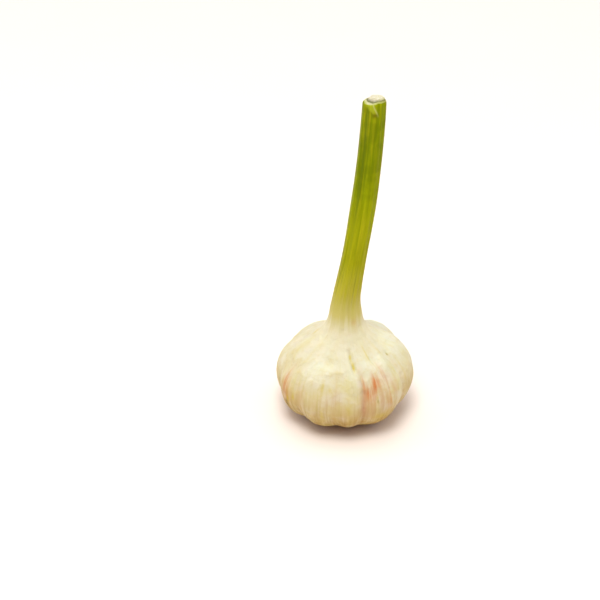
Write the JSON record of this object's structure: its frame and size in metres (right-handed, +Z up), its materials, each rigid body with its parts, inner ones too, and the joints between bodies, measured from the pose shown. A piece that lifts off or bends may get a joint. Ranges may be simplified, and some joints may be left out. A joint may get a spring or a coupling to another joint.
{
  "type": "fresh garlic bulb",
  "caption": "Fresh garlic bulb with swollen cloves under a pale skin, a pleated neck, a cut green stem and trimmed roots.",
  "frame": {"origin": "centre of the root plate's cut face, at the level that the bulb stands on", "axes": "+Z up along the bulb's axis, from the roots to the stem; the stem leans towards +X; -Y is the side that the picture shows"},
  "size_m": [0.0548, 0.054, 0.1385],
  "materials": {
    "bulb_skin": "satin",
    "green_stem": "satin",
    "root_cork": "matte"
  },
  "bodies": {
    "root": {"bulb": "bulb_skin", "stem": "green_stem", "root_plate": "root_cork"}
  },
  "joints": []
}
